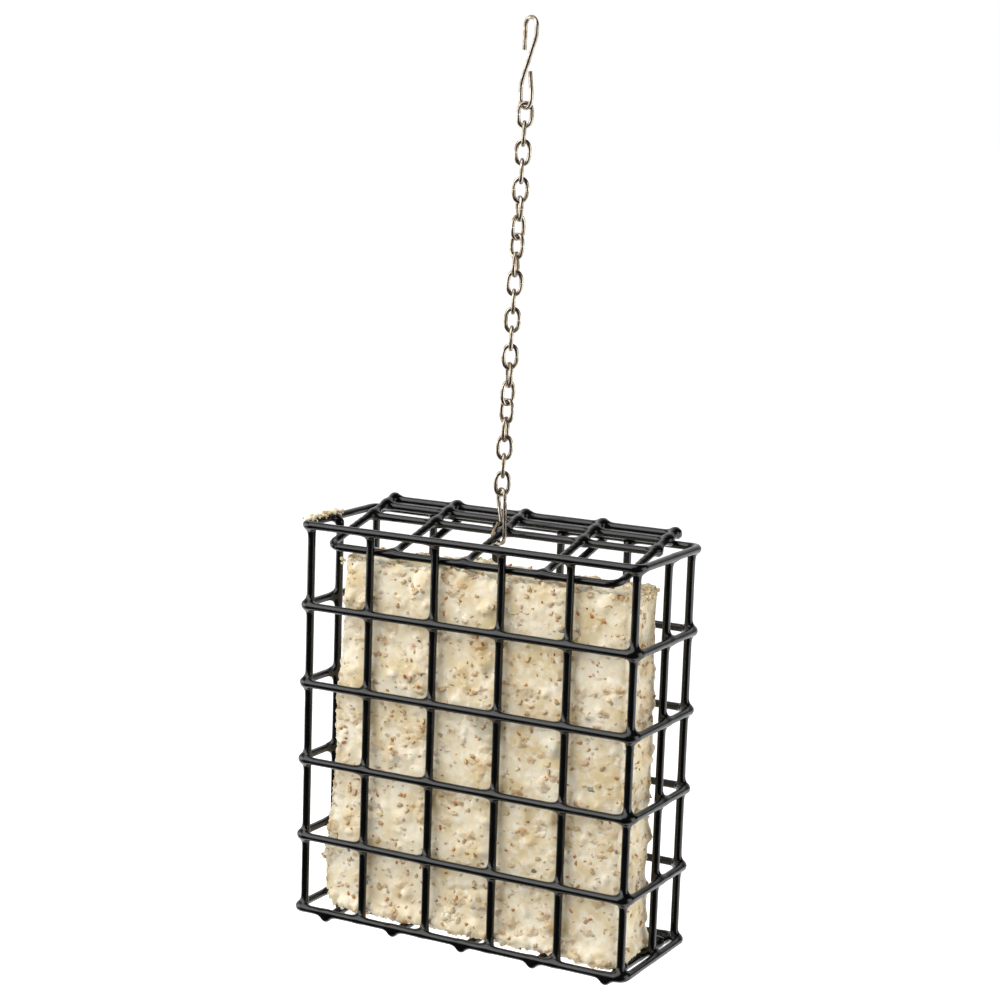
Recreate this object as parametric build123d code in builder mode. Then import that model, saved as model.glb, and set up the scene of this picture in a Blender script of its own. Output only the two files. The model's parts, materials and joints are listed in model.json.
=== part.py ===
"""Hanging bird feeder: a welded wire cage for a suet cake, with a wire lid hung from a link chain.

Millimetres. +X runs along the front of the cage, +Y to its back and +Z up. The origin is the
point inside the top of the S-hook where the feeder hangs. Sub-parts of the cage are laid out on
the cage's own plane: x = 0 half way along it, y = 0 at the front and z = 0 half way up.
"""
from build123d import *
from math import asin, atan2, cos, degrees, hypot, radians, sin
import os

# ---- driving dimensions ----
coated_wire = 2.8                    # steel wire with its dipped coating
upright_pitch = 25.4                 # a one inch mesh
upright_end = 61.75                  # corner uprights, from the middle of the cage
ring_half_length = 63.95
ring_depth = 46.8                    # front run to rear run, centre to centre
ring_bend = 3.2
ring_heights = [69.3, 41.1, 13.7, -13.7, -41.1, -67.45]
weld_offset = 2.2                    # centre to centre where two coated cage wires cross
upright_top_inset = 0.4              # the uprights stop this far under the middle of the rim
upright_foot_reach = 0.6             # and run this far past the middle of the base ring

side_wire_right = 26.6               # the side wire runs a little skew under the cake
side_wire_left = 20.3
base_cross_middle = 3.1
base_cross_pitch = 27.2
base_cross_reach = 1.5
base_cross_offset = 1.7              # the cross wires sink further into the base ring's coating
base_long_ends = (-54.0, 60.3)
base_long_places = [10.8, 40.2]

lid_front = (6.0, 61.8)              # y and z of the lid's front wire
lid_cross_places = [-57.3, -31.7, -4.0, 25.8, 53.2]
lid_bend = 3.2
lid_weld_offset = 1.0
lid_long_places = [35.0, 44.0, 49.8]
lid_wire_end = 50.9
wire_end_round = 0.7
lid_long_overhang = 2.2
hinge_reach = 3.1                    # rim axis to the axis of the hinge wires around it
hinge_nose = 4.6
hinge_return = 31.0
butt_inset = 1.25

plated_wire = 1.4
link_length = 9.05
link_width = 5.6
link_gap = 0.05
link_count = 21
hook_angle = -27.0
face_angle = 28.0
clasp_angle = -30.0
hook_foot = (0.9, 30.05, 212.7)      # lowest point of the S-hook's axis, on the cage's plane
clasp_eye = (-2.6, 28.8, 84.0)       # highest point of the clasp's axis, on the cage's plane
twisting_links = [5, 6, 7, 8, 9, 14, 15, 16, 17, 18]
twist_step = 18.0

cake_front = 3.95
cake_thickness = 25.5
cake_outline = [(-57.3, -65.7), (59.0, -65.7), (58.6, 59.9), (-50.4, 59.9)]
cake_corner = 9.0
cake_edge = 2.5

hang_point = (2.43, 29.27, 241.4)    # the origin, on the cage's plane

# ---- derived places ----
cage = Plane(origin=(-hang_point[0], -hang_point[1], -hang_point[2]))
rim_height, base_height = ring_heights[0], ring_heights[-1]
front_row, rear_row = weld_offset, ring_depth - weld_offset
upright_places = [-upright_end, -1.5 * upright_pitch, -0.5 * upright_pitch,
                  0.5 * upright_pitch, 1.5 * upright_pitch, upright_end]
upright_top, upright_foot = rim_height - upright_top_inset, base_height - upright_foot_reach
base_cross_height = base_height - base_cross_offset
link_step = link_length - 2 * plated_wire - link_gap

hinge_run, hinge_rise = ring_depth - lid_front[0], rim_height - lid_front[1]
lid_slope = degrees(atan2(hinge_rise, hinge_run) + asin(hinge_reach / hypot(hinge_run, hinge_rise)))
lid = Plane(cage.from_local_coords(Vector(0, *lid_front)), x_dir=(1, 0, 0),
            z_dir=(0, -sin(radians(lid_slope)), cos(radians(lid_slope))))

os.makedirs("parts", exist_ok=True)


def save(builder, name):
    """Labels a finished sub-part and writes its STEP file."""
    builder.part.label = name
    export_step(builder.part, f"parts/{name}.step")


def bent_wire(name, points, bends, diameter, rounded_ends=0.0):
    """Makes one round wire through the points, with a bend radius for each corner."""
    with BuildPart() as wire:
        with BuildLine() as axis:
            FilletPolyline(*points, radius=bends)
        with BuildSketch(axis.line ^ 0):
            Circle(diameter / 2)
        sweep()
        if rounded_ends:
            fillet(wire.faces().filter_by(GeomType.PLANE).edges(), rounded_ends)
    save(wire, name)


def straight_wire(name, start, end, diameter, rounded_ends=0.0):
    """Makes one straight round wire from start to end."""
    with BuildPart() as wire:
        with BuildLine() as axis:
            Line(start, end)
        with BuildSketch(axis.line ^ 0):
            Circle(diameter / 2)
        sweep()
        if rounded_ends:
            fillet(wire.faces().filter_by(GeomType.PLANE).edges(), rounded_ends)
    save(wire, name)


def on(plane, *points):
    """Places local points of a plane in the part's own frame."""
    return [plane.from_local_coords(Vector(*point)) for point in points]


def lid_depth(y):
    """Distance along the lid's plane, from its front wire, of a place y behind the cage's front."""
    return (y - lid_front[0]) / cos(radians(lid_slope))


# ---- cage: six horizontal rings ----
for number, height in enumerate(ring_heights, start=1):
    half, back = ring_half_length, ring_depth
    corners = on(cage, (0, 0, height), (half, 0, height), (half, back, height),
                 (-half, back, height), (-half, 0, height))
    with BuildPart() as ring:
        with BuildLine() as axis:
            FilletPolyline(*corners, corners[0], radius=[0] + 4 * [ring_bend], close=False)
        with BuildSketch(axis.line ^ 0):
            Circle(coated_wire / 2)
        sweep()
    save(ring, f"cage_ring_{number}")

# ---- cage: front and rear uprights ----
for row, y in (("front", front_row), ("rear", rear_row)):
    for number, x in enumerate(upright_places, start=1):
        ends = on(cage, (x, y, upright_top), (x, y, upright_foot))
        straight_wire(f"{row}_upright_{number}", *ends, coated_wire)

# ---- cage: one wire down the left side, under the cake and up the right side ----
side_points = on(cage, (-upright_end, side_wire_left, upright_top),
                 (-upright_end, side_wire_left, base_height),
                 (upright_end, side_wire_right, base_height),
                 (upright_end, side_wire_right, upright_top))
bent_wire("side_wire", side_points, ring_bend, coated_wire)

# ---- cage: base mat ----
for number in range(5):
    x = base_cross_middle + (number - 2) * base_cross_pitch
    ends = on(cage, (x, -base_cross_reach, base_cross_height),
              (x, ring_depth + base_cross_reach, base_cross_height))
    straight_wire(f"base_cross_wire_{number + 1}", *ends, coated_wire, rounded_ends=wire_end_round)
for name, y in zip(("front", "rear"), base_long_places):
    ends = on(cage, (base_long_ends[0], y, base_height), (base_long_ends[1], y, base_height))
    straight_wire(f"base_long_wire_{name}", *ends, coated_wire, rounded_ends=wire_end_round)

# ---- lid: frame wire, centre wire and long wires ----
left, right = lid_cross_places[0], lid_cross_places[-1]
wire_end = lid_depth(lid_wire_end)
frame_points = on(lid, (left, wire_end, 0), (left, 0, 0), (right, 0, 0), (right, wire_end, 0))
bent_wire("lid_frame_wire", frame_points, lid_bend, coated_wire, rounded_ends=wire_end_round)

middle = lid_cross_places[2]
centre_points = on(lid, (middle, butt_inset, 0), (middle, wire_end, 0))
straight_wire("lid_centre_wire", *centre_points, coated_wire)

for name, y in zip(("front", "middle", "rear"), lid_long_places):
    depth = lid_depth(y) - lid_weld_offset * sin(radians(lid_slope)) / cos(radians(lid_slope))
    ends = on(lid, (left - lid_long_overhang, depth, -lid_weld_offset),
              (right + lid_long_overhang, depth, -lid_weld_offset))
    straight_wire(f"lid_long_wire_{name}", *ends, coated_wire, rounded_ends=wire_end_round)

# ---- lid: two wires that hook around the rear of the rim ----
rim_depth = lid_depth(ring_depth) + hinge_reach * sin(radians(lid_slope)) / cos(radians(lid_slope))
for name, x in (("left", lid_cross_places[1]), ("right", lid_cross_places[3])):
    nose, under = rim_depth + hinge_nose, -2 * hinge_reach
    hook_points = on(lid, (x, butt_inset, 0), (x, nose, 0), (x, nose, under),
                     (x, lid_depth(hinge_return), under))
    bent_wire(f"lid_hinge_wire_{name}", hook_points, hinge_reach - 0.02, coated_wire)

# ---- chain: links on the line from the S-hook's foot to the clasp's eye ----
foot, eye = on(cage, hook_foot, clasp_eye)
down = (eye - foot).normalized()


def chain_plane(centre, angle):
    """A plane with its X across the chain, turned by an angle about the chain, and its Y up it."""
    flat = Vector(cos(radians(angle)), sin(radians(angle)), 0)
    across = (flat - down * flat.dot(down)).normalized()
    return Plane(origin=centre, x_dir=across, z_dir=across.cross(-down))


link_angle = face_angle
pivot = foot
for number in range(1, link_count + 1):
    centre = pivot + down * (link_length / 2 - 1.5 * plated_wire - link_gap)
    across, half_leg = (link_width - plated_wire) / 2, (link_length - link_width) / 2
    with BuildPart() as link:
        with BuildLine(chain_plane(centre, link_angle)) as axis:
            Line((across, -half_leg), (across, half_leg))
            ThreePointArc((across, half_leg), (0, half_leg + across), (-across, half_leg))
            Line((-across, half_leg), (-across, -half_leg))
            ThreePointArc((-across, -half_leg), (0, -half_leg - across), (across, -half_leg))
        with BuildSketch(axis.line ^ 0):
            Circle(plated_wire / 2)
        sweep()
    save(link, f"chain_link_{number:02d}")
    link_angle += 90 + (twist_step if number in twisting_links else 0)
    pivot = pivot + down * link_step

# ---- S-hook ----
hook_plane = Plane(origin=foot, x_dir=(cos(radians(hook_angle)), sin(radians(hook_angle)), 0),
                   z_dir=(sin(radians(hook_angle)), -cos(radians(hook_angle)), 0))
hook_points = on(hook_plane, (-1.7, 18.7, 0), (-1.6, 29.4, 0), (5.0, 29.4, 0), (4.9, 23.3, 0),
                 (-3.1, 7.6, 0), (-3.1, -0.2, 0), (3.1, -0.2, 0), (3.1, 5.0, 0), (1.9, 11.8, 0))
hook_bends = [3.2, 3.2, 7.0, 7.0, 3.05, 3.05, 5.0]
bent_wire("s_hook", hook_points, hook_bends, plated_wire)

# ---- clasp between the chain and the lid's centre wire ----
clasp_plane = Plane(origin=eye, x_dir=(cos(radians(clasp_angle)), sin(radians(clasp_angle)), 0),
                    z_dir=(sin(radians(clasp_angle)), -cos(radians(clasp_angle)), 0))
clasp_points = on(clasp_plane, (0.25, -10.7, 0), (-2.0, -3.6, 0), (-2.0, 0.4, 0), (2.0, 0.4, 0),
                  (2.3, -3.6, 0), (2.8, -18.3, 0), (-6.6, -18.3, 0), (-1.35, -11.0, 0))
clasp_bends = [4.0, 1.95, 1.95, 6.0, 2.6, 1.7]
bent_wire("lid_clasp", clasp_points, clasp_bends, plated_wire)

# ---- suet cake, leaning on the front wires with its left side worn ----
cake_plane = Plane(origin=cage.from_local_coords(Vector(0, cake_front + cake_thickness, 0)),
                   x_dir=(1, 0, 0), z_dir=(0, -1, 0))
with BuildPart() as cake:
    with BuildSketch(cake_plane):
        with BuildLine():
            Polyline(*cake_outline, close=True)
        make_face()
        fillet(vertices().group_by(Axis.X)[0], cake_corner)
        fillet(vertices().group_by(Axis.X)[-1], cake_edge)
    extrude(amount=cake_thickness)
    fillet(faces().filter_by(Axis.Y).edges(), cake_edge * 0.8)
save(cake, "suet_cake")
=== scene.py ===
"""Looks for a hanging bird feeder: a dip-coated wire cage, its lid, a plated chain and a suet cake.

Metres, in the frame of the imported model: +X along the cage's front, +Y to its back, +Z up, and the
origin inside the top of the S-hook. Sizes and places come from the model's own boxes and joints.
"""
import json
import math

import bpy
from mathutils import Euler, Matrix, Vector


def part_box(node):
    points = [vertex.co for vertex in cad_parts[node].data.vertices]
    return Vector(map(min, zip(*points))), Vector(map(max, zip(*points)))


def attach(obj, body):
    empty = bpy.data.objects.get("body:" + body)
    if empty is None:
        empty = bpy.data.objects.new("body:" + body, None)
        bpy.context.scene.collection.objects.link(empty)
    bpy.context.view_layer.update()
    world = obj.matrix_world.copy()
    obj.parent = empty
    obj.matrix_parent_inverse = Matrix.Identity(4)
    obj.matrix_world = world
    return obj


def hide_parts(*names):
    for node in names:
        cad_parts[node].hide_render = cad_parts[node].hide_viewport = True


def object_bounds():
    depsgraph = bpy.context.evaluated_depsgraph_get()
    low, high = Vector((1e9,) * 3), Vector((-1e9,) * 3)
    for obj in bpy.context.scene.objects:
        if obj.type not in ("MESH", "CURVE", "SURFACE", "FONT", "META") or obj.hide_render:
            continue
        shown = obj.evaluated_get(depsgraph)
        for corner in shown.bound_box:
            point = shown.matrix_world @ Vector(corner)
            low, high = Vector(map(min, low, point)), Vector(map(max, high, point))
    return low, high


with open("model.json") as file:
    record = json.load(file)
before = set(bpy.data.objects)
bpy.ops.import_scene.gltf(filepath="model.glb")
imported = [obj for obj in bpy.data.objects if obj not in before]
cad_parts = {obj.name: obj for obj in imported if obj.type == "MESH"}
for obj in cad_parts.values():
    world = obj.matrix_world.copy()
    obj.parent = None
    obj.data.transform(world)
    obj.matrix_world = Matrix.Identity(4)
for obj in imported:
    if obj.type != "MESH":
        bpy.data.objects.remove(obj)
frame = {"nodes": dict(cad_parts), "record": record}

bl_info = {
    "name": "Hanging Suet Feeder",
    "version": (1, 0, 0),
    "blender": (4, 5, 0),
    "location": "3D Viewport > Sidebar > Suet Feeder",
    "description": "Builds the looks of a wire suet feeder around its packed model",
    "category": "Object",
}

CAD_BOX = [list(corner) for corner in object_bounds()]
MM = 0.001
RECORD = frame["record"]
BODIES = RECORD["behaviour"]["bodies"]
JOINTS = {joint["name"]: joint for joint in RECORD["behaviour"]["joints"]}

ARC_STEPS = 6  # steps in a wire's bend
WIRE_LAYERS = 3  # layers of wires that the coat joins by round webs
COAT_MARGIN = 2 * MM  # room round the wires for the coat's volume
COAT_RUN = 0.12 * MM  # how much the coat's thickness varies
COAT_EDGE = 0.4 * MM  # rounding where the coat meets the flat of the cage's sides
DENSITY_BASE = 10 * MM  # volume density is this much less the distance, so that it stays positive
PER_METRE = 1000  # volume density for one metre
END_INSET = 0.9  # share of a radius by which an axis stops before the wire's cut end

LINK_COUNT = 21
LINK_STEPS = 52
LINK_BUTT = 0.008  # radians from the middle of the leg to the cut end
LINK_PLAY = 0.027 * MM  # half the gap between two links' wires
LINK_ROUNDNESS = 0.8  # 1 gives an ellipse, less gives straighter legs
LID_EXTRA_BEND = 1.2 * MM  # the lid's frame wire is bent wider than the rings

CAKE_CELL = 0.8 * MM
SMEAR_CELL = 0.25 * MM  # cell size of the smears' meshes

FLOOR_REACH = 30.0
FLOOR_NEAR = 0.05  # how far the paper reaches in front of the feeder
LENS_MM = 84.79
SENSOR_MM = 36
CAMERA_PLACE = (0.36954, -0.69721, -0.0284)
CAMERA_TURN = (80.498, -1.859, 28.611)  # degrees about X, Y and Z
BEHIND = (-0.47, 0.87, 0.15)  # the way towards the room's white back wall
# name, place from the feeder's middle, side, watts
SOFTBOXES = (
    ("top_softbox", (-0.25, -0.45, 0.75), 0.9, 6),
    ("front_softbox", (-0.55, -0.95, 0.38), 0.75, 4),
    ("left_softbox", (-1.0, -0.35, 0.15), 0.7, 4.5),
    ("right_softbox", (1.05, 0.1, 0.1), 0.8, 4),
)


# ---- small helpers ----
def linear(hex_colour):
    """Turns an sRGB hex colour into the linear RGBA that Blender's nodes take."""
    channels = [int(hex_colour[i:i + 2], 16) / 255 for i in (1, 3, 5)]
    turned = [c / 12.92 if c <= 0.04045 else ((c + 0.055) / 1.055) ** 2.4 for c in channels]
    return (*turned, 1.0)


def add_node(tree, kind, inputs=None, **settings):
    """Adds a node with its settings. Inputs go by socket name or number, to a value or an output."""
    added = tree.nodes.new(kind)
    for name, value in settings.items():
        setattr(added, name, value)
    for socket, value in (inputs or {}).items():
        if isinstance(value, bpy.types.NodeSocket):
            tree.links.new(value, added.inputs[socket])
        else:
            added.inputs[socket].default_value = value
    return added


def colour_property(name, description, hex_colour):
    """A colour that the user may change, with its default given as sRGB hex."""
    return bpy.props.FloatVectorProperty(
        name=name, description=description, subtype="COLOR", size=4, min=0, max=1,
        default=linear(hex_colour))


def length_property(name, description, millimetres):
    """A length that the user may change, with its default given in millimetres."""
    return bpy.props.FloatProperty(
        name=name, description=description, default=millimetres * MM, min=0, precision=5,
        subtype="DISTANCE", unit="LENGTH")


def new_tree(name, sizes):
    """Starts a geometry tree that takes a mesh and the named inputs."""
    tree = bpy.data.node_groups.new(name, "GeometryNodeTree")
    tree.interface.new_socket("Geometry", in_out="INPUT", socket_type="NodeSocketGeometry")
    for label, kind in sizes.items():
        tree.interface.new_socket(label, in_out="INPUT", socket_type=f"NodeSocket{kind}")
    tree.interface.new_socket("Geometry", in_out="OUTPUT", socket_type="NodeSocketGeometry")
    return tree, add_node(tree, "NodeGroupInput").outputs


def finish_tree(tree, geometry, material):
    """Ends a tree: instances made real, smooth faces and one material."""
    real = add_node(tree, "GeometryNodeRealizeInstances", {0: geometry})
    smooth = add_node(tree, "GeometryNodeSetShadeSmooth", {"Geometry": real.outputs[0]})
    painted = add_node(tree, "GeometryNodeSetMaterial", {
        "Geometry": smooth.outputs[0], "Material": material})
    add_node(tree, "NodeGroupOutput", {0: painted.outputs[0]})


def run_tree(name, mesh, tree, values):
    """Runs a tree on a mesh and returns an object that holds the result as a plain mesh."""
    piece = bpy.data.objects.new(name, mesh)
    bpy.context.scene.collection.objects.link(piece)
    modifier = piece.modifiers.new("shape", "NODES")
    modifier.node_group = tree
    for item in tree.interface.items_tree:
        if item.in_out == "INPUT" and item.name in values:
            modifier[item.identifier] = values[item.name]
    graph = bpy.context.evaluated_depsgraph_get()
    result = bpy.data.meshes.new_from_object(piece.evaluated_get(graph), depsgraph=graph)
    piece.modifiers.clear()
    piece.data = result
    result.name = name
    return piece


def rounded_path(points, radius, closed=False):
    """A line through the points with each corner turned on an arc."""
    points = [Vector(point) for point in points]
    count = len(points)
    path = [] if closed else [points[0]]
    for i in range(0 if closed else 1, count if closed else count - 1):
        corner, before, after = points[i], points[i - 1], points[(i + 1) % count]
        back, on = (before - corner).normalized(), (after - corner).normalized()
        half = back.angle(on) / 2
        centre = corner + (back + on).normalized() * radius / math.sin(half)
        spoke = corner + back * radius / math.tan(half) - centre
        sweep = math.pi - 2 * half
        beside = corner + on * radius / math.tan(half) - centre
        beside = (beside - spoke * (beside @ spoke) / radius ** 2).normalized() * radius
        for step in range(ARC_STEPS + 1):
            turn = sweep * step / ARC_STEPS
            path.append(centre + spoke * math.cos(turn) + beside * math.sin(turn))
    return path if closed else path + [points[-1]]


def axes_mesh(name, wires):
    """A mesh of bare edges, one line for each wire's axis, with the wire's layer on every point.
    A wire is (layer, points, closed)."""
    places, edges, layers = [], [], []
    for layer, points, closed in wires:
        first = len(places)
        places += [tuple(point) for point in points]
        layers += [layer] * len(points)
        edges += [(first + i, first + i + 1) for i in range(len(points) - 1)]
        if closed:
            edges.append((len(places) - 1, first))
    mesh = bpy.data.meshes.new(name)
    mesh.from_pydata(places, edges, [])
    mesh.attributes.new("layer", "INT", "POINT").data.foreach_set("value", layers)
    return mesh


# ---- materials ----
def new_material(name):
    """An empty node material with its surface output."""
    material = bpy.data.materials.new(name)
    material.use_nodes = True
    tree = material.node_tree
    tree.nodes.clear()
    place = add_node(tree, "ShaderNodeTexCoord").outputs["Object"]
    return material, tree, place


def dipped_pvc(settings):
    """Plasticised PVC, fluidised-bed dipped over steel wire: thick, black and glossy, with a slow
    orange peel that breaks long highlights a little."""
    material, tree, place = new_material("dipped_black_pvc")
    peel = add_node(tree, "ShaderNodeTexNoise", {"Vector": place, "Scale": 1 / (6 * MM), "Detail": 2})
    grit = add_node(tree, "ShaderNodeTexNoise", {"Vector": place, "Scale": 1 / (0.7 * MM), "Detail": 3})
    rough = add_node(tree, "ShaderNodeMapRange", {
        "Value": peel.outputs["Fac"], "From Min": 0.3, "From Max": 0.7, "To Min": 0.16, "To Max": 0.26})
    slow = add_node(tree, "ShaderNodeBump", {
        "Height": peel.outputs["Fac"], "Strength": 0.35, "Distance": 0.25 * MM})
    fine = add_node(tree, "ShaderNodeBump", {
        "Height": grit.outputs["Fac"], "Normal": slow.outputs[0],
        "Strength": 0.2, "Distance": 0.02 * MM})
    tone = add_node(tree, "ShaderNodeMix", {
        0: peel.outputs["Fac"], 6: settings.coat_colour, 7: settings.coat_worn},
        data_type="RGBA").outputs[2]
    shader = add_node(tree, "ShaderNodeBsdfPrincipled", {
        "Base Color": tone, "Roughness": rough.outputs[0], "IOR": 1.53,
        "Normal": fine.outputs[0]})
    add_node(tree, "ShaderNodeOutputMaterial", {"Surface": shader.outputs[0]})
    return material


def plated_steel(settings):
    """Nickel-plated drawn wire, a little tarnished: warm grey metal with brown in its hollows."""
    material, tree, place = new_material("tarnished_nickel_plate")
    cloud = add_node(tree, "ShaderNodeTexNoise", {"Vector": place, "Scale": 1 / (2.5 * MM), "Detail": 4})
    patch = add_node(tree, "ShaderNodeMapRange", {
        "Value": cloud.outputs["Fac"], "From Min": 0.42, "From Max": 0.66})
    tone = add_node(tree, "ShaderNodeMix", {
        0: patch.outputs[0], 6: settings.plate_colour, 7: settings.plate_tarnish},
        data_type="RGBA").outputs[2]
    rough = add_node(tree, "ShaderNodeMapRange", {
        "Value": patch.outputs[0], "To Min": 0.22, "To Max": 0.42})
    marks = add_node(tree, "ShaderNodeTexNoise", {"Vector": place, "Scale": 1 / (0.5 * MM), "Detail": 2})
    bump = add_node(tree, "ShaderNodeBump", {
        "Height": marks.outputs["Fac"], "Strength": 0.3, "Distance": 0.03 * MM})
    shader = add_node(tree, "ShaderNodeBsdfPrincipled", {
        "Base Color": tone, "Metallic": 1.0, "Roughness": rough.outputs[0],
        "Normal": bump.outputs[0]})
    add_node(tree, "ShaderNodeOutputMaterial", {"Surface": shader.outputs[0]})
    return material


def grain_spots(tree, place, spacing, size, kept, stretch, soft):
    """Irregular spots where grains lie under the fat: a share of a Voronoi pattern's cells."""
    warp = add_node(tree, "ShaderNodeTexNoise", {"Vector": place, "Scale": 1.4 / spacing, "Detail": 2})
    moved = add_node(tree, "ShaderNodeVectorMath", {
        0: warp.outputs["Color"], 1: (0.9 * spacing,) * 3, 2: place}, operation="MULTIPLY_ADD")
    mapped = add_node(tree, "ShaderNodeMapping", {
        "Vector": moved.outputs[0], "Rotation": (0.3, 0.5 * stretch, 0.2), "Scale": (stretch, 1, 1)})
    cells = add_node(tree, "ShaderNodeTexVoronoi", {
        "Vector": mapped.outputs[0], "Scale": 1 / spacing, "Randomness": 1})
    chance = add_node(tree, "ShaderNodeSeparateColor", {0: cells.outputs["Color"]})
    own_size = add_node(tree, "ShaderNodeMapRange", {
        "Value": chance.outputs[0], "From Min": 1 - kept, "To Min": 0, "To Max": size})
    inside = add_node(tree, "ShaderNodeMath", {
        0: own_size.outputs[0], 1: cells.outputs["Distance"]}, operation="SUBTRACT")
    share = add_node(tree, "ShaderNodeMapRange", {"Value": inside.outputs[0], "From Max": soft})
    return share.outputs[0], chance.outputs[1]


def suet(settings, crumbly=False):
    """Rendered fat set round chopped grain: cream and waxy, with ochre, brown and grey-green
    grain showing through, and whiter and duller where it crumbles."""
    material, tree, place = new_material("crumbled_suet" if crumbly else "moulded_suet")
    cloud = add_node(tree, "ShaderNodeTexNoise", {"Vector": place, "Scale": 1 / (11 * MM), "Detail": 5})
    deep = add_node(tree, "ShaderNodeMapRange", {
        "Value": cloud.outputs["Fac"], "From Min": 0.36, "From Max": 0.64})
    fat = add_node(tree, "ShaderNodeMix", {
        0: deep.outputs[0], 6: settings.fat_light, 7: settings.fat_deep}, data_type="RGBA").outputs[2]
    mottle = add_node(tree, "ShaderNodeTexNoise", {"Vector": place, "Scale": 1 / (3 * MM), "Detail": 3})
    pale = add_node(tree, "ShaderNodeMapRange", {
        "Value": mottle.outputs["Fac"], "From Min": 0.5, "From Max": 0.7,
        "To Max": 0.9 if crumbly else 0.6})
    colour = add_node(tree, "ShaderNodeMix", {
        0: pale.outputs[0], 6: fat, 7: settings.fat_white}, data_type="RGBA").outputs[2]
    lumps = 0.0
    for spacing, size, kept, stretch, soft, first, second, strength in (
            (17 * MM, 0.42, 0.5, 0.8, 0.4, settings.grain_grey, settings.grain_grey, 0.7),
            (8 * MM, 0.6, 0.6, 0.8, 0.6, settings.grain_ochre, settings.grain_pink, 0.5),
            (5.2 * MM, 0.55, 0.7, 0.7, 0.5, settings.grain_ochre, settings.grain_pink, 0.6),
            (3.1 * MM, 0.5, 0.6, 0.6, 0.35, settings.grain_ochre, settings.grain_orange, 0.7),
            (1.7 * MM, 0.5, 0.4, 0.8, 0.25, settings.grain_orange, settings.grain_pink, 0.55),
            (6.1 * MM, 0.2, 0.3, 0.7, 0.07, settings.grain_dark, settings.grain_grey, 0.85)):
        share, pick = grain_spots(tree, place, spacing, size, kept, stretch, soft)
        grain = add_node(tree, "ShaderNodeMix", {
            0: pick, 6: first, 7: second}, data_type="RGBA").outputs[2]
        strong = add_node(tree, "ShaderNodeMath", {
            0: share, 1: strength * (0.5 if crumbly else 1)}, operation="MULTIPLY")
        colour = add_node(tree, "ShaderNodeMix", {
            0: strong.outputs[0], 6: colour, 7: grain}, data_type="RGBA").outputs[2]
        lumps = add_node(tree, "ShaderNodeMath", {
            0: share, 1: min(spacing, 5 * MM) * 0.3, 2: lumps}, operation="MULTIPLY_ADD").outputs[0]
    fine = add_node(tree, "ShaderNodeTexNoise", {"Vector": place, "Scale": 1 / (0.8 * MM), "Detail": 4})
    bump = add_node(tree, "ShaderNodeBump", {
        "Height": fine.outputs["Fac"], "Strength": 0.7 if crumbly else 0.35, "Distance": 0.25 * MM})
    soft_bump = add_node(tree, "ShaderNodeBump", {
        "Height": mottle.outputs["Fac"], "Normal": bump.outputs[0],
        "Strength": 0.5, "Distance": 0.5 * MM})
    lumpy = add_node(tree, "ShaderNodeBump", {
        "Height": lumps, "Normal": soft_bump.outputs[0], "Strength": 0.8, "Distance": 1})
    shader = add_node(tree, "ShaderNodeBsdfPrincipled", {
        "Base Color": colour, "Roughness": 0.62 if crumbly else 0.46, "IOR": 1.45,
        "Subsurface Weight": 0.12, "Subsurface Radius": (1.0, 0.7, 0.4), "Subsurface Scale": 1.5 * MM,
        "Normal": lumpy.outputs[0]})
    add_node(tree, "ShaderNodeOutputMaterial", {"Surface": shader.outputs[0]})
    return material


def grain_husk(name, first, second):
    """Cracked cereal grain: matt, darker towards the husk."""
    material, tree, place = new_material(name)
    cloud = add_node(tree, "ShaderNodeTexNoise", {"Vector": place, "Scale": 1 / (2.2 * MM), "Detail": 3})
    share = add_node(tree, "ShaderNodeMapRange", {
        "Value": cloud.outputs["Fac"], "From Min": 0.35, "From Max": 0.65})
    blend = add_node(tree, "ShaderNodeMix", {
        0: share.outputs[0], 6: first, 7: second}, data_type="RGBA").outputs[2]
    shader = add_node(tree, "ShaderNodeBsdfPrincipled", {
        "Base Color": blend, "Roughness": 0.55, "IOR": 1.45})
    add_node(tree, "ShaderNodeOutputMaterial", {"Surface": shader.outputs[0]})
    return material


def studio_paper(settings):
    """Matt white background paper with the faintest fibre."""
    material, tree, place = new_material("matt_white_paper")
    fibre = add_node(tree, "ShaderNodeTexNoise", {"Vector": place, "Scale": 90, "Detail": 3})
    tone = add_node(tree, "ShaderNodeMix", {
        0: fibre.outputs["Fac"], 6: settings.paper, 7: linear("#F4F4F2")}, data_type="RGBA").outputs[2]
    shader = add_node(tree, "ShaderNodeBsdfPrincipled", {
        "Base Color": tone, "Roughness": 0.9, "Specular IOR Level": 0.1,
        "Emission Color": (1, 1, 1, 1), "Emission Strength": settings.glow})
    add_node(tree, "ShaderNodeOutputMaterial", {"Surface": shader.outputs[0]})
    return material


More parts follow.
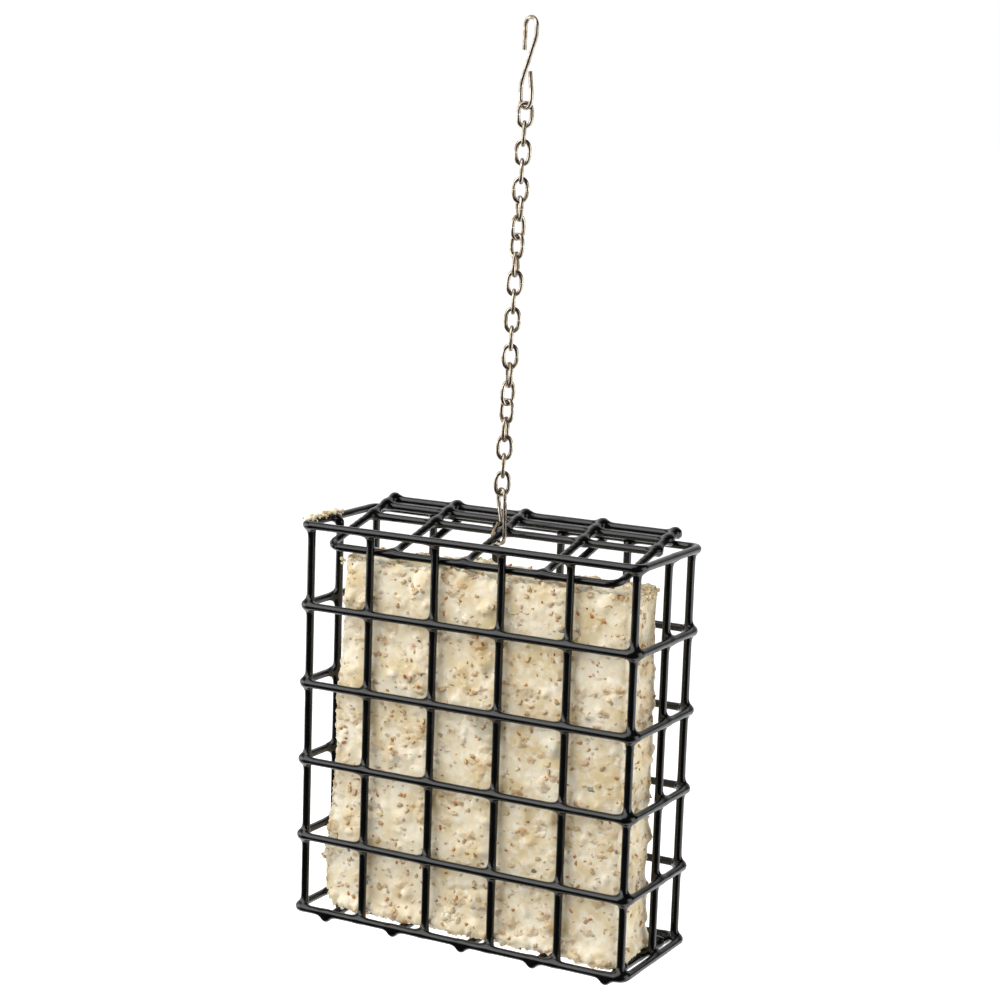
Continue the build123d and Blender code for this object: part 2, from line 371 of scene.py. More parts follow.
# ---- coated wire ----
def coating_tree():
    """Geometry nodes that dip welded wires in plastic. The coat is the level surface of a smooth
    minimum of the distances to three layers of wires, so it fills each weld with a round web."""
    tree, given = new_tree("dip_coat", {
        "Wire Thickness": "Float", "Weld Web": "Float", "Cell": "Float",
        "Low Corner": "Vector", "High Corner": "Vector", "Material": "Material"})
    layer = add_node(tree, "GeometryNodeInputNamedAttribute", {"Name": "layer"}, data_type="INT")
    distances = []
    for number in range(WIRE_LAYERS):
        chosen = add_node(tree, "FunctionNodeCompare", {
            2: layer.outputs["Attribute"], 3: number}, data_type="INT", operation="EQUAL")
        wires = add_node(tree, "GeometryNodeSeparateGeometry", {
            "Geometry": given["Geometry"], "Selection": chosen.outputs[0]}, domain="POINT")
        near = add_node(tree, "GeometryNodeProximity", {
            0: wires.outputs["Selection"]}, target_element="EDGES")
        distances.append(near.outputs["Distance"])
    joined = distances[0]
    for distance in distances[1:]:
        joined = add_node(tree, "ShaderNodeMath", {
            0: joined, 1: distance, 2: given["Weld Web"]}, operation="SMOOTH_MIN").outputs[0]
    radius = add_node(tree, "ShaderNodeMath", {
        0: given["Wire Thickness"], 1: 0.5}, operation="MULTIPLY")
    # The coat stays inside the box of the wires in X and Y.
    place = add_node(tree, "GeometryNodeInputPosition").outputs[0]
    high = add_node(tree, "ShaderNodeVectorMath", {
        0: given["High Corner"], 1: (-COAT_MARGIN,) * 3}, operation="ADD")
    low = add_node(tree, "ShaderNodeVectorMath", {
        0: given["Low Corner"], 1: (COAT_MARGIN,) * 3}, operation="ADD")
    past = add_node(tree, "ShaderNodeVectorMath", {0: place, 1: high.outputs[0]}, operation="SUBTRACT")
    short = add_node(tree, "ShaderNodeVectorMath", {0: low.outputs[0], 1: place}, operation="SUBTRACT")
    outside = add_node(tree, "ShaderNodeVectorMath", {
        0: past.outputs[0], 1: short.outputs[0]}, operation="MAXIMUM")
    by_axis = add_node(tree, "ShaderNodeSeparateXYZ", {0: outside.outputs[0]}).outputs
    side = add_node(tree, "ShaderNodeMath", {0: by_axis[0], 1: by_axis[1]}, operation="MAXIMUM")
    face = add_node(tree, "ShaderNodeMath", {0: side.outputs[0], 1: radius.outputs[0]}, operation="ADD")
    joined = add_node(tree, "ShaderNodeMath", {
        0: joined, 1: face.outputs[0], 2: COAT_EDGE}, operation="SMOOTH_MAX").outputs[0]
    uneven = add_node(tree, "ShaderNodeTexNoise", {"Scale": 1 / (9 * MM), "Detail": 1})
    runs = add_node(tree, "ShaderNodeMath", {
        0: uneven.outputs["Fac"], 1: COAT_RUN, 2: joined}, operation="MULTIPLY_ADD")
    depth = add_node(tree, "ShaderNodeMath", {
        0: DENSITY_BASE, 1: runs.outputs[0]}, operation="SUBTRACT")
    density = add_node(tree, "ShaderNodeMath", {
        0: depth.outputs[0], 1: PER_METRE}, operation="MULTIPLY")
    size = add_node(tree, "ShaderNodeVectorMath", {
        0: given["High Corner"], 1: given["Low Corner"]}, operation="SUBTRACT")
    cells = add_node(tree, "ShaderNodeVectorMath", {
        0: size.outputs[0], 1: given["Cell"]}, operation="DIVIDE")
    counts = add_node(tree, "ShaderNodeSeparateXYZ", {0: cells.outputs[0]})
    cube = add_node(tree, "GeometryNodeVolumeCube", {
        "Density": density.outputs[0], "Min": given["Low Corner"], "Max": given["High Corner"],
        "Resolution X": counts.outputs[0], "Resolution Y": counts.outputs[1],
        "Resolution Z": counts.outputs[2]})
    level = add_node(tree, "ShaderNodeMath", {
        0: given["Wire Thickness"], 1: -PER_METRE / 2, 2: (DENSITY_BASE - COAT_RUN / 2) * PER_METRE},
        operation="MULTIPLY_ADD")
    skin = add_node(tree, "GeometryNodeVolumeToMesh", {
        "Volume": cube.outputs[0], "Threshold": level.outputs[0]})
    finish_tree(tree, skin.outputs[0], given["Material"])
    return tree


def coat(name, wires, nodes, body, settings, material):
    """Makes one coated assembly from its wires' axes, in place of its CAD wires."""
    lows, highs = zip(*(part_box(node) for node in nodes))
    margin = Vector((COAT_MARGIN,) * 3)
    low = Vector(min(corner[i] for corner in lows) for i in range(3)) - margin
    high = Vector(max(corner[i] for corner in highs) for i in range(3)) + margin
    cell = settings.coat_cell * 1
    piece = run_tree(name, axes_mesh(name + "_axes", wires), coating_tree(), {
        "Wire Thickness": wire_thickness(), "Weld Web": settings.weld_web, "Cell": cell,
        "Low Corner": low, "High Corner": high, "Material": material})
    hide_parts(*nodes)
    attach(piece, body)
    return piece


def wire_thickness():
    """The coated wire's thickness, from an upright's box."""
    low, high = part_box("front_upright_1")
    return high.x - low.x


def straight_axis(node, direction):
    """The axis of a straight wire, held back from its ends by most of a radius, so that the
    coat's round end comes where the wire is cut."""
    low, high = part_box(node)
    radius = wire_thickness() / 2
    along = Vector(direction).normalized()
    main = max(range(3), key=lambda i: abs(along[i]))
    across = math.sqrt(max(0.0, 1 - along[main] ** 2))
    length = ((high - low)[main] - 2 * radius * across) / abs(along[main])
    reach = along * (length / 2 - END_INSET * radius)
    middle = (low + high) / 2
    return [middle - reach, middle + reach]


def cage_wires(settings):
    """The axes of the cage's wires. Layer 0 holds the rings and the base's long wires, layer 1 the
    uprights and the side wire, layer 2 the base's cross wires."""
    radius = wire_thickness() / 2
    wires = []
    for number in range(1, 7):
        low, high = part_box(f"cage_ring_{number}")
        left, front, right, back = low.x + radius, low.y + radius, high.x - radius, high.y - radius
        height = (low.z + high.z) / 2
        corners = [(left, front, height), (right, front, height),
                   (right, back, height), (left, back, height)]
        wires.append((0, rounded_path(corners, settings.ring_bend, closed=True), True))
        for row in ("front", "rear"):
            wires.append((1, straight_axis(f"{row}_upright_{number}", (0, 0, 1)), False))
    low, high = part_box("side_wire")
    left, right, foot = low.x + radius, high.x - radius, low.z + radius
    top = high.z - radius
    side = [(left, low.y + radius, top), (left, low.y + radius, foot),
            (right, high.y - radius, foot), (right, high.y - radius, top)]
    wires.append((1, rounded_path(side, settings.ring_bend), False))
    for number in range(1, 6):
        wires.append((2, straight_axis(f"base_cross_wire_{number}", (0, 1, 0)), False))
    for place in ("front", "rear"):
        wires.append((0, straight_axis(f"base_long_wire_{place}", (1, 0, 0)), False))
    return wires


def lid_wires(settings):
    """The axes of the lid's wires. Layer 0 holds the long wires, layer 1 the wires that run from
    front to back, layer 2 the frame wire."""
    radius = wire_thickness() / 2
    along = Vector(JOINTS["lid_roll"]["axis"])
    out = Vector((0, -along.z, along.y))
    wires = [(0, straight_axis(f"lid_long_wire_{place}", (1, 0, 0)), False)
             for place in ("front", "middle", "rear")]
    centre = straight_axis("lid_centre_wire", along)
    wires.append((1, [centre[0] - along * radius, centre[1]], False))
    low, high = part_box("lid_frame_wire")
    left, right = low.x + radius, high.x - radius
    front = Vector((0, low.y + radius, low.z + radius))
    arm = along * (centre[1].y - front.y) / along.y
    frame_points = [Vector((left, 0, 0)) + front + arm, Vector((left, 0, 0)) + front,
                    Vector((right, 0, 0)) + front, Vector((right, 0, 0)) + front + arm]
    wires.append((2, rounded_path(frame_points, settings.ring_bend + LID_EXTRA_BEND), False))
    rim = Vector(JOINTS["lid_hinge"]["pos_m"])
    for place in ("left", "right"):
        low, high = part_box(f"lid_hinge_wire_{place}")
        nose = along * ((high.y - radius - rim.y) / along.y)
        x = Vector(((low.x + high.x) / 2, 0, 0))
        rim_here = x + Vector((0, rim.y, rim.z))
        reach = out * settings.hinge_reach
        start = x + front + along * END_INSET * radius
        end = rim_here - reach - along * (settings.hinge_return - END_INSET * radius)
        points = [start, rim_here + reach + nose, rim_here - reach + nose, end]
        wires.append((1, rounded_path(points, settings.hinge_reach - 0.02 * MM), False))
    return wires


# ---- chain ----
def link_tree():
    """Geometry nodes for one chain link: wire bent round an oval, butted in the middle of one leg."""
    tree, given = new_tree("bend_link", {"Wire Thickness": "Float", "Material": "Material"})
    half = add_node(tree, "ShaderNodeMath", {0: given["Wire Thickness"], 1: 0.5}, operation="MULTIPLY")
    path = add_node(tree, "GeometryNodeMeshToCurve", {0: given["Geometry"]})
    profile = add_node(tree, "GeometryNodeCurvePrimitiveCircle", {
        "Resolution": 16, "Radius": half.outputs[0]})
    tube = add_node(tree, "GeometryNodeCurveToMesh", {
        "Curve": path.outputs[0], "Profile Curve": profile.outputs[0], "Fill Caps": True})
    finish_tree(tree, tube.outputs[0], given["Material"])
    return tree


def link_path(pivot, next_pivot, across, settings, swap):
    """The link's axis: an open oval that starts and ends at the butt in one of its legs."""
    down = (next_pivot - pivot).normalized()
    side = across * (-1 if swap else 1)
    centre = (pivot + next_pivot) / 2 - down * (settings.plate_wire / 2 + LINK_PLAY)
    half_width = (settings.link_width - settings.plate_wire) / 2
    half_length = (settings.link_length - settings.plate_wire) / 2
    path = []
    for step in range(LINK_STEPS + 1):
        angle = LINK_BUTT + (2 * math.pi - 2 * LINK_BUTT) * step / LINK_STEPS
        out, along = math.cos(angle), math.sin(angle)
        out = math.copysign(abs(out) ** LINK_ROUNDNESS, out)
        along = math.copysign(abs(along) ** LINK_ROUNDNESS, along)
        path.append(centre + side * half_width * out + down * half_length * along)
    return path


# ---- suet cake ----
def relief_tree():
    """Geometry nodes that wear a moulded suet cake: slow waves, lumps of grain under the fat,
    dents where it leans on the wires, cracks, and a crumbling top and foot."""
    tree, given = new_tree("wear_cake", {
        "Wires": "Object", "Cracks": "Object", "Lump Height": "Float", "Dent Depth": "Float",
        "Top": "Float", "Foot": "Float", "Left": "Float", "Material": "Material"})
    place = add_node(tree, "GeometryNodeInputPosition").outputs[0]
    normal = add_node(tree, "GeometryNodeInputNormal").outputs[0]
    spot = add_node(tree, "ShaderNodeSeparateXYZ", {0: place}).outputs

    waves = add_node(tree, "ShaderNodeTexNoise", {"Vector": place, "Scale": 1 / (22 * MM), "Detail": 2})
    # what a layer follows, where it starts and ends, the heights there, what scales it
    layers = [(waves.outputs["Fac"], 0.25, 0.75, -1.5 * MM, -0.1 * MM, 1)]
    # spacing of the lumps, their size in it, share kept, share of the lump height
    for spacing, size, share, tall in (
            (9 * MM, 0.45, 0.55, 1.0), (5 * MM, 0.5, 0.5, 0.75), (2.6 * MM, 0.5, 0.5, 0.4)):
        warp = add_node(tree, "ShaderNodeTexNoise", {"Vector": place, "Scale": 1 / spacing, "Detail": 1})
        bent = add_node(tree, "ShaderNodeVectorMath", {
            0: warp.outputs["Color"], 1: (0.9 * spacing,) * 3, 2: place}, operation="MULTIPLY_ADD")
        cells = add_node(tree, "ShaderNodeTexVoronoi", {"Vector": bent.outputs[0], "Scale": 1 / spacing})
        chance = add_node(tree, "FunctionNodeSeparateColor", {0: cells.outputs["Color"]})
        kept = add_node(tree, "ShaderNodeMapRange", {
            "Value": chance.outputs[0], "From Min": 1 - share, "From Max": 1 - share + 0.3,
            "To Max": given["Lump Height"]}, interpolation_type="SMOOTHSTEP")
        layers.append((cells.outputs["Distance"], size, 0, 0, tall, kept.outputs[0]))
    wires = add_node(tree, "GeometryNodeObjectInfo", {0: given["Wires"]})
    near = add_node(tree, "GeometryNodeProximity", {
        0: wires.outputs["Geometry"]}, target_element="EDGES")
    patchy = add_node(tree, "ShaderNodeTexNoise", {"Vector": place, "Scale": 1 / (16 * MM), "Detail": 1})
    inward = add_node(tree, "ShaderNodeMapRange", {
        "Value": patchy.outputs["Fac"], "From Min": 0.3, "From Max": 0.7,
        "To Min": -0.5, "To Max": -1.3}, interpolation_type="SMOOTHSTEP")
    layers.append((near.outputs["Distance"], 5.2 * MM, 1.8 * MM, 0, given["Dent Depth"],
                   inward.outputs[0]))
    cracks = add_node(tree, "GeometryNodeObjectInfo", {0: given["Cracks"]})
    gap = add_node(tree, "GeometryNodeProximity", {
        0: cracks.outputs["Geometry"]}, target_element="EDGES")
    layers.append((gap.outputs["Distance"], 0.9 * MM, 0.1 * MM, 0, -1.3 * MM, 1))
    crumb = add_node(tree, "ShaderNodeTexNoise", {
        "Vector": place, "Scale": 1 / (2.2 * MM), "Detail": 4, "Roughness": 0.65})
    crumbly = []
    # from, to, how far apart they are where it starts to crumble and where most, how much then
    for first, second, start, most, share in (
            (given["Top"], spot[2], 6 * MM, 0, 1), (spot[0], given["Left"], 12 * MM, 2 * MM, 0.7),
            (spot[2], given["Foot"], 6 * MM, 0, 1)):
        apart = add_node(tree, "ShaderNodeMath", {0: first, 1: second}, operation="SUBTRACT")
        crumbly.append(add_node(tree, "ShaderNodeMapRange", {
            "Value": apart.outputs[0], "From Min": start, "From Max": most, "To Max": share},
            interpolation_type="SMOOTHSTEP").outputs[0])
    top, left, foot = crumbly
    edge = add_node(tree, "ShaderNodeMath", {0: top, 1: left}, operation="MAXIMUM")
    layers.append((crumb.outputs["Fac"], 0.3, 0.7, -1.7 * MM, 0.35 * MM, edge.outputs[0]))
    layers.append((crumb.outputs["Fac"], 0.3, 0.7, 1.2 * MM, 2.8 * MM, foot))
    height = 0
    for value, start, end, low, high, scale in layers:
        layer = add_node(tree, "ShaderNodeMapRange", {
            "Value": value, "From Min": start, "From Max": end, "To Min": low, "To Max": high},
            interpolation_type="SMOOTHSTEP")
        height = add_node(tree, "ShaderNodeMath", {
            0: layer.outputs[0], 1: scale, 2: height}, operation="MULTIPLY_ADD").outputs[0]
    offset = add_node(tree, "ShaderNodeVectorMath", {0: normal, "Scale": height}, operation="SCALE")
    moved = add_node(tree, "GeometryNodeSetPosition", {
        "Geometry": given["Geometry"], "Offset": offset.outputs[0]})
    finish_tree(tree, moved.outputs[0], given["Material"])
    return tree


def grain_tree():
    """Geometry nodes that press chopped grains into the cake, half sunk, at seeded places."""
    tree, given = new_tree("press_grains", {
        "Density": "Float", "Shortest": "Float", "Longest": "Float", "Slenderness": "Float",
        "Seed": "Int", "Material": "Material"})
    points = add_node(tree, "GeometryNodeDistributePointsOnFaces", {
        "Mesh": given["Geometry"], "Density": given["Density"], "Seed": given["Seed"]})
    ball = add_node(tree, "GeometryNodeMeshIcoSphere", {"Radius": 0.5, "Subdivisions": 2})
    rough = add_node(tree, "ShaderNodeTexNoise", {"Scale": 2.2, "Detail": 1})
    centred = add_node(tree, "ShaderNodeVectorMath", {
        0: rough.outputs["Color"], 1: (0.5, 0.5, 0.5)}, operation="SUBTRACT")
    chipped = add_node(tree, "GeometryNodeSetPosition", {
        "Geometry": ball.outputs["Mesh"], "Offset": centred.outputs[0]})
    size = add_node(tree, "FunctionNodeRandomValue", {
        2: given["Shortest"], 3: given["Longest"], "Seed": given["Seed"]}, data_type="FLOAT")
    width = add_node(tree, "ShaderNodeMath", {
        0: size.outputs[1], 1: given["Slenderness"]}, operation="MULTIPLY")
    scale = add_node(tree, "ShaderNodeCombineXYZ", {
        0: width.outputs[0], 1: size.outputs[1], 2: width.outputs[0]})
    spin = add_node(tree, "FunctionNodeRandomValue", {
        1: (0.5, 0.5, 2 * math.pi), "Seed": given["Seed"]}, data_type="FLOAT_VECTOR")
    about = add_node(tree, "FunctionNodeEulerToRotation", {0: spin.outputs[0]})
    turned = add_node(tree, "FunctionNodeRotateRotation", {
        0: points.outputs["Rotation"], 1: about.outputs[0]}, rotation_space="LOCAL")
    placed = add_node(tree, "GeometryNodeInstanceOnPoints", {
        "Points": points.outputs["Points"], "Instance": chipped.outputs[0],
        "Rotation": turned.outputs[0], "Scale": scale.outputs[0]})
    finish_tree(tree, placed.outputs[0], given["Material"])
    return tree


def crack_lines():
    """Where the cake has cracked, on its front face, between the middle uprights near the foot."""
    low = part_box("suet_cake")[0]
    foot, face = low.z, low.y + 0.3 * MM
    left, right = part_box("front_upright_3")[1].x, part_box("front_upright_4")[0].x
    long_crack = [(left + 0.5 * MM, face, foot + 25.5 * MM), (left + 2.2 * MM, face, foot + 23 * MM),
                  (left + 3.2 * MM, face, foot + 19 * MM), (left + 4.4 * MM, face, foot + 15.5 * MM),
                  (left + 5.2 * MM, face, foot + 12.5 * MM)]
    cross_crack = [(left + 5.0 * MM, face, foot + 13.3 * MM), (left + 8 * MM, face, foot + 15.2 * MM),
                   (left + 12 * MM, face, foot + 15.6 * MM), (right - 3 * MM, face, foot + 17 * MM),
                   (right, face, foot + 17.4 * MM)]
    return [(0, [Vector(p) for p in line], False) for line in (long_crack, cross_crack)]


def scene_object(name, mesh):
    """Puts a mesh in the scene under a name."""
    added = bpy.data.objects.new(name, mesh)
    bpy.context.scene.collection.objects.link(added)
    return added


def welded_copy(node):
    """A merged copy of a CAD node's mesh, remeshed in even cells."""
    mesh = frame["nodes"][node].data.copy()
    copy = scene_object(node + "_copy", mesh)
    weld = copy.modifiers.new("weld", "WELD")
    weld.merge_threshold = 0.01 * MM
    remesh = copy.modifiers.new("cells", "REMESH")
    remesh.mode = "VOXEL"
    remesh.voxel_size = CAKE_CELL * 1
    soften = copy.modifiers.new("soften", "SMOOTH")
    soften.iterations = 6
    graph = bpy.context.evaluated_depsgraph_get()
    result = bpy.data.meshes.new_from_object(copy.evaluated_get(graph), depsgraph=graph)
    bpy.data.objects.remove(copy)
    return result


def smear_tree():
    """Geometry nodes for fat left on a wire: crumbs along a line run together into one smear."""
    tree, given = new_tree("smear_fat", {
        "Step": "Float", "Spread": "Float", "Crumb": "Float", "Seed": "Int", "Material": "Material"})
    line = add_node(tree, "GeometryNodeMeshToCurve", {0: given["Geometry"]})
    points = add_node(tree, "GeometryNodeCurveToPoints", {
        "Curve": line.outputs[0], "Length": given["Step"]}, mode="LENGTH")
    jitter = add_node(tree, "FunctionNodeRandomValue", {
        0: (-1, -1, -1), 1: (1, 1, 1), "Seed": given["Seed"]}, data_type="FLOAT_VECTOR")
    shift = add_node(tree, "ShaderNodeVectorMath", {
        0: jitter.outputs[0], "Scale": given["Spread"]}, operation="SCALE")
    moved = add_node(tree, "GeometryNodeSetPosition", {
        "Geometry": points.outputs["Points"], "Offset": shift.outputs[0]})
    size = add_node(tree, "FunctionNodeRandomValue", {
        2: 0.35, 3: 1.0, "Seed": given["Seed"]}, data_type="FLOAT")
    radius = add_node(tree, "ShaderNodeMath", {
        0: size.outputs[1], 1: given["Crumb"]}, operation="MULTIPLY")
    cloud = add_node(tree, "GeometryNodePointsToVolume", {
        "Points": moved.outputs[0], "Voxel Size": SMEAR_CELL, "Radius": radius.outputs[0]},
        resolution_mode="VOXEL_SIZE")
    skin = add_node(tree, "GeometryNodeVolumeToMesh", {"Volume": cloud.outputs[0], "Threshold": 0.1})
    finish_tree(tree, skin.outputs[0], given["Material"])
    return tree


# ---- settings ----
class CoatedWireSettings(bpy.types.PropertyGroup):
    """The cage's and the lid's coated wire."""
    ring_bend: length_property("Bend", "Radius of the wire's axis at a corner", 3.2)
    hinge_reach: length_property("Hinge Reach", "Rim axis to the axis of the hinge wire round it", 3.1)
    hinge_return: length_property(
        "Hinge Return", "How far the hinge wire comes back under the rim", 16.5)
    weld_web: length_property("Weld Web", "Distance over which the coat fills a weld", 3.9)
    coat_cell: length_property("Cell", "Cell size of the coat's mesh", 0.72)
    coat_colour: colour_property("Coat", "Colour of the plastic coat", "#030303")
    coat_worn: colour_property("Coat Worn", "Colour of the coat where it is thin", "#070809")


class ChainSettings(bpy.types.PropertyGroup):
    """The plated chain, hook and clasp."""
    plate_wire: length_property("Wire", "Thickness of the plated wire", 1.4)
    link_length: length_property("Link Length", "Length of a link over its wire", 9.05)
    link_width: length_property("Link Width", "Width of a link over its wire", 5.9)
    plate_colour: colour_property("Plate", "Colour of the plating", "#C9C0B2")
    plate_tarnish: colour_property("Tarnish", "Colour of the plating where it is tarnished", "#8C7A62")


class SuetSettings(bpy.types.PropertyGroup):
    """The suet cake, its grains and its smears."""
    lump_height: length_property("Lump Height", "Height of the grains' lumps", 1.5)
    dent_depth: length_property("Dent Depth", "Depth of the dents along the wires", 0.6)
    fat_light: colour_property("Fat", "Light tone of the fat", "#F4EAD0")
    fat_deep: colour_property("Fat Deep", "Deep tone of the fat", "#DCC79A")
    fat_white: colour_property("Fat White", "Tone of the whitest fat", "#FAF4E6")
    grain_ochre: colour_property("Ochre Grain", "Colour of the ochre grains", "#CD9E58")
    grain_orange: colour_property("Orange Grain", "Colour of the orange grains", "#BC7436")
    grain_pink: colour_property("Pink Grain", "Colour of the pinkish grains", "#C8A47C")
    grain_dark: colour_property("Dark Grain", "Colour of the darkest specks", "#4A2A1E")
    grain_grey: colour_property("Grey Grain", "Colour of the grey-green grains", "#A3ADA4")


class StageSettings(bpy.types.PropertyGroup):
    """The floor, the lights and the camera."""
    paper: colour_property("Paper", "Colour of the floor", "#FFFFFF")
    glow: bpy.props.FloatProperty(
        name="Glow", description="Light that the paper gives off, so that it stays white",
        default=0.62, min=0)
    drop: length_property("Drop", "Height of the feeder over the floor", 160)


# ---- operators ----
class FEEDER_OT_coated_cage(bpy.types.Operator):
    """Dip-coat the cage's welded wires"""
    bl_idname = "feeder.coated_cage"
    bl_label = "Coated Cage"

    def execute(self, context):
        settings = context.scene.feeder_wire
        coat("coated_cage", cage_wires(settings), BODIES["cage"], "cage", settings, dipped_pvc(settings))
        return {"FINISHED"}


class FEEDER_OT_coated_lid(bpy.types.Operator):
    """Dip-coat the lid's welded wires"""
    bl_idname = "feeder.coated_lid"
    bl_label = "Coated Lid"

    def execute(self, context):
        settings = context.scene.feeder_wire
        coat("coated_lid", lid_wires(settings), BODIES["lid"], "lid", settings,
             bpy.data.materials["dipped_black_pvc"])
        return {"FINISHED"}


class FEEDER_OT_chain(bpy.types.Operator):
    """Bend the chain's links and plate them with the hook and the clasp"""
    bl_idname = "feeder.chain"
    bl_label = "Chain"

    def execute(self, context):
        settings = context.scene.feeder_chain
        plate = plated_steel(settings)
        tree = link_tree()
        numbers = range(1, LINK_COUNT + 1)
        names = [f"link_{number:02d}_swing" for number in numbers] + ["clasp_swing"]
        for number in numbers:
            pivot = Vector(JOINTS[names[number - 1]]["pos_m"])
            next_pivot = Vector(JOINTS[names[number]]["pos_m"])
            across = Vector(JOINTS[names[number]]["axis"])
            path = link_path(pivot, next_pivot, across, settings, swap=number % 4 in (1, 2))
            axis = axes_mesh("link_axis", [(0, path, False)])
            piece = run_tree(f"bent_link_{number:02d}", axis, tree, {
                "Wire Thickness": settings.plate_wire, "Material": plate})
            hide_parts(f"chain_link_{number:02d}")
            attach(piece, f"link_{number:02d}")
        for node in ("s_hook", "lid_clasp"):
            wire = frame["nodes"][node]
            wire.data.materials.clear()
            wire.data.materials.append(plate)
        return {"FINISHED"}


class FEEDER_OT_suet_cake(bpy.types.Operator):
    """Mould the suet cake, wear it and press its grains in"""
    bl_idname = "feeder.suet_cake"
    bl_label = "Suet Cake"

    def execute(self, context):
        settings = context.scene.feeder_suet
        low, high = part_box("suet_cake")
        uprights = [(0, straight_axis(f"front_upright_{n}", (0, 0, 1)), False) for n in range(1, 7)]
        wires = scene_object("leaning_wires", axes_mesh("leaning_wires", uprights))
        cracks = scene_object("crack_lines", axes_mesh("crack_lines", crack_lines()))
        cake = run_tree("moulded_cake", welded_copy("suet_cake"), relief_tree(), {
            "Wires": wires, "Cracks": cracks, "Lump Height": settings.lump_height,
            "Dent Depth": settings.dent_depth, "Top": high.z, "Foot": low.z, "Left": low.x,
            "Material": suet(settings)})
        for helper in (wires, cracks):
            bpy.data.objects.remove(helper)
        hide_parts("suet_cake")
        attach(cake, "cake")
        tree = grain_tree()
        for name, density, short, long, slender, seed, first, second in (
                ("ochre_grains", 14000, 0.8, 2.4, 0.45, 3, settings.grain_ochre, settings.grain_orange),
                ("pale_grains", 12000, 1.2, 3.2, 0.5, 11, settings.fat_deep, settings.grain_pink),
                ("dark_husks", 1500, 0.7, 1.6, 0.5, 23, settings.grain_dark, settings.grain_orange)):
            grains = run_tree(name, cake.data.copy(), tree, {
                "Density": density, "Shortest": short * MM, "Longest": long * MM,
                "Slenderness": slender, "Seed": seed, "Material": grain_husk(name, first, second)})
            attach(grains, "cake")
        return {"FINISHED"}


class FEEDER_OT_suet_smears(bpy.types.Operator):
    """Leave crumbs of fat on the rim's left run and on the cake's edges, and a loose chunk"""
    bl_idname = "feeder.suet_smears"
    bl_label = "Suet Smears"

    def execute(self, context):
        material = suet(context.scene.feeder_suet, crumbly=True)
        tree = smear_tree()
        rim_low, rim_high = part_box("cage_ring_1")
        low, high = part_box("suet_cake")
        left, rim_top = rim_low.x + wire_thickness() / 2, rim_high.z - 0.3 * MM
        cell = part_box("front_upright_3")[1].x
        face, back = low.y + 1.7 * MM, high.y - 2 * MM
        for name, start, end, step, spread, crumb, seed, body in (
                ("rim_smear", (left, rim_low.y + 3 * MM, rim_top), (left, rim_low.y + 25 * MM, rim_top),
                 0.15, 1.2, 0.75, 5, "cage"),
                ("loose_chunk", (cell + 5 * MM, face, low.z + 6 * MM),
                 (cell + 9.5 * MM, face, low.z + 5.5 * MM), 0.05, 2.1, 1.15, 8, "cake"),
                ("top_crumbs", (low.x + 3 * MM, face + 4 * MM, high.z - 2.8 * MM),
                 (high.x - 4 * MM, face + 5 * MM, high.z - 2.8 * MM), 0.4, 1.4, 0.7, 13, "cake"),
                ("side_crumbs", (high.x - 2.2 * MM, face + 3 * MM, high.z - 5 * MM),
                 (high.x - 2.2 * MM, back, high.z - 4 * MM), 0.25, 1.9, 0.75, 21, "cake")):
            line = axes_mesh(name, [(0, [Vector(start), Vector(end)], False)])
            smear = run_tree(name, line, tree, {
                "Step": step * MM, "Spread": spread * MM, "Crumb": crumb * MM, "Seed": seed,
                "Material": material})
            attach(smear, body)
        return {"FINISHED"}


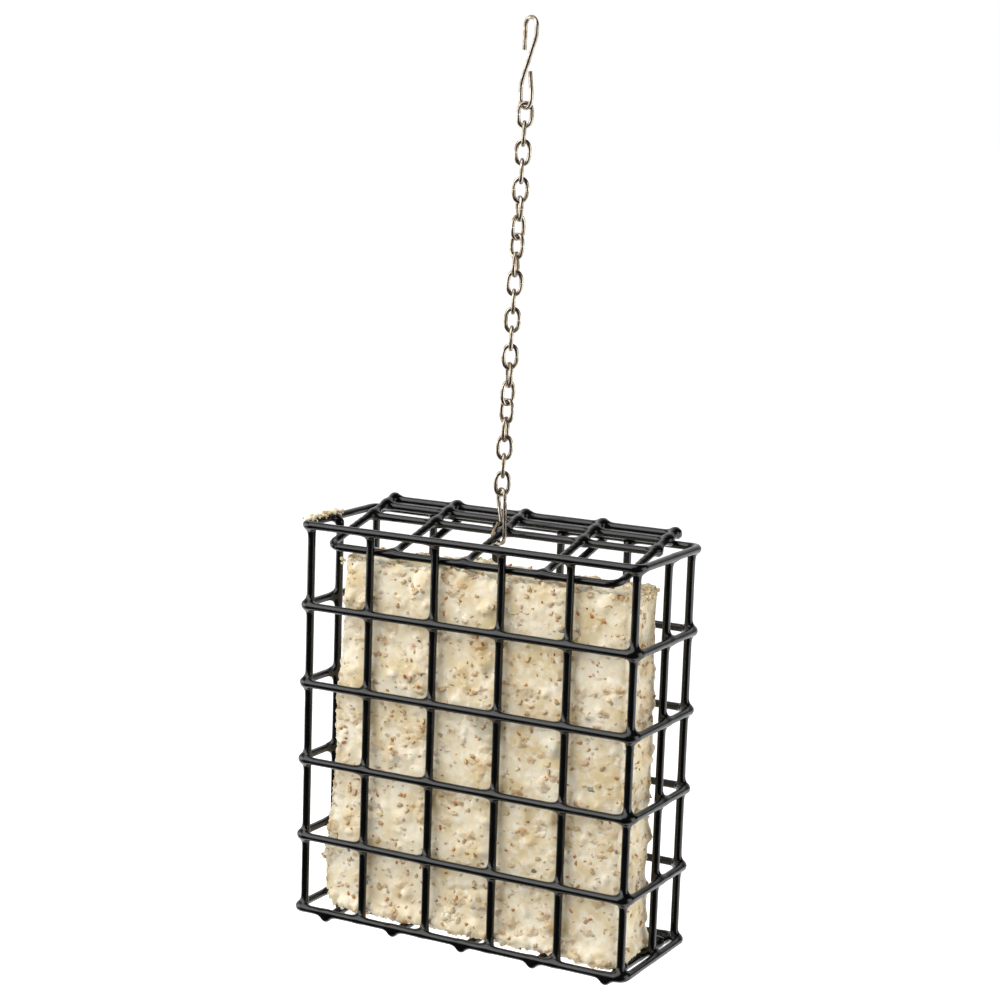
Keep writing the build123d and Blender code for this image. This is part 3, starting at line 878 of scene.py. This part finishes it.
class FEEDER_OT_stage(bpy.types.Operator):
    """Set the floor, the lights and the camera"""
    bl_idname = "feeder.stage"
    bl_label = "Stage"

    def execute(self, context):
        settings = context.scene.feeder_stage
        scene = context.scene
        low = Vector(CAD_BOX[0])
        floor_mesh = bpy.data.meshes.new("floor")
        side, depth, near = FLOOR_REACH, low.z - settings.drop, low.y - FLOOR_NEAR
        floor_mesh.from_pydata([(-side, near, depth), (side, near, depth), (side, side, depth),
                                (-side, side, depth)], [], [(0, 1, 2, 3)])
        floor_mesh.materials.append(studio_paper(settings))
        floor = scene_object("floor", floor_mesh)
        middle = Vector((0, 0, low.z / 2 - 0.06))
        for name, place, size, watts in SOFTBOXES:
            data = bpy.data.lights.new(name, "AREA")
            data.shape, data.size, data.energy = "SQUARE", size, watts
            lamp = bpy.data.objects.new(name, data)
            lamp.location = middle + Vector(place)
            lamp.rotation_euler = (middle - lamp.location).to_track_quat("-Z", "Y").to_euler()
            scene.collection.objects.link(lamp)
        world = bpy.data.worlds.new("white_room")
        world.use_nodes = True
        tree = world.node_tree
        tree.nodes.clear()
        paths = add_node(tree, "ShaderNodeLightPath").outputs
        way = add_node(tree, "ShaderNodeTexCoord").outputs["Generated"]
        behind = add_node(tree, "ShaderNodeVectorMath", {0: way, 1: BEHIND},
                          operation="DOT_PRODUCT").outputs["Value"]
        mirrored = add_node(tree, "ShaderNodeMapRange", {
            "Value": behind, "From Min": 0.45, "From Max": 0.95, "To Min": 0.015, "To Max": 1.0},
            interpolation_type="SMOOTHSTEP").outputs[0]
        lit = add_node(tree, "ShaderNodeMath", {0: paths["Is Camera Ray"], 1: 0.5, 2: 0.5},
                       operation="MULTIPLY_ADD").outputs[0]
        bright = add_node(tree, "ShaderNodeMix", {
            0: paths["Is Glossy Ray"], 2: lit, 3: mirrored}).outputs[0]
        shader = add_node(tree, "ShaderNodeBackground", {"Color": linear("#FFFFFF"), "Strength": bright})
        add_node(tree, "ShaderNodeOutputWorld", {"Surface": shader.outputs[0]})
        scene.world = world
        scene.view_settings.view_transform = "Standard"
        lens = bpy.data.cameras.new("camera")
        lens.lens, lens.sensor_width = LENS_MM, SENSOR_MM
        camera = bpy.data.objects.new("camera", lens)
        turn = Euler([math.radians(angle) for angle in CAMERA_TURN])
        camera.matrix_world = Matrix.LocRotScale(Vector(CAMERA_PLACE), turn, None)
        scene.collection.objects.link(camera)
        scene.camera = camera
        return {"FINISHED"}


STEPS = (FEEDER_OT_stage, FEEDER_OT_coated_cage, FEEDER_OT_coated_lid, FEEDER_OT_chain,
         FEEDER_OT_suet_cake, FEEDER_OT_suet_smears)


class FEEDER_PT_panel(bpy.types.Panel):
    """Lists the feeder's pieces and their settings."""
    bl_label = "Suet Feeder"
    bl_idname = "FEEDER_PT_panel"
    bl_space_type = "VIEW_3D"
    bl_region_type = "UI"
    bl_category = "Suet Feeder"

    def draw(self, context):
        for step in STEPS:
            self.layout.operator(step.bl_idname)
        for name, group in SETTINGS.items():
            box = self.layout.box()
            for field in group.__annotations__:
                box.prop(getattr(context.scene, name), field)


SETTINGS = {"feeder_wire": CoatedWireSettings, "feeder_chain": ChainSettings,
            "feeder_suet": SuetSettings, "feeder_stage": StageSettings}
CLASSES = (*SETTINGS.values(), *STEPS, FEEDER_PT_panel)


def register():
    """Registers the classes and hangs the settings on the scene."""
    for kind in CLASSES:
        bpy.utils.register_class(kind)
    for name, group in SETTINGS.items():
        setattr(bpy.types.Scene, name, bpy.props.PointerProperty(type=group))


def unregister():
    """Takes the settings and the classes away again."""
    for name in SETTINGS:
        delattr(bpy.types.Scene, name)
    for kind in reversed(CLASSES):
        bpy.utils.unregister_class(kind)


def main():
    """Builds every piece in order."""
    register()
    for step in STEPS:
        group, name = step.bl_idname.split(".")
        getattr(getattr(bpy.ops, group), name)()
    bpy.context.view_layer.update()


if __name__ == "__main__":
    main()
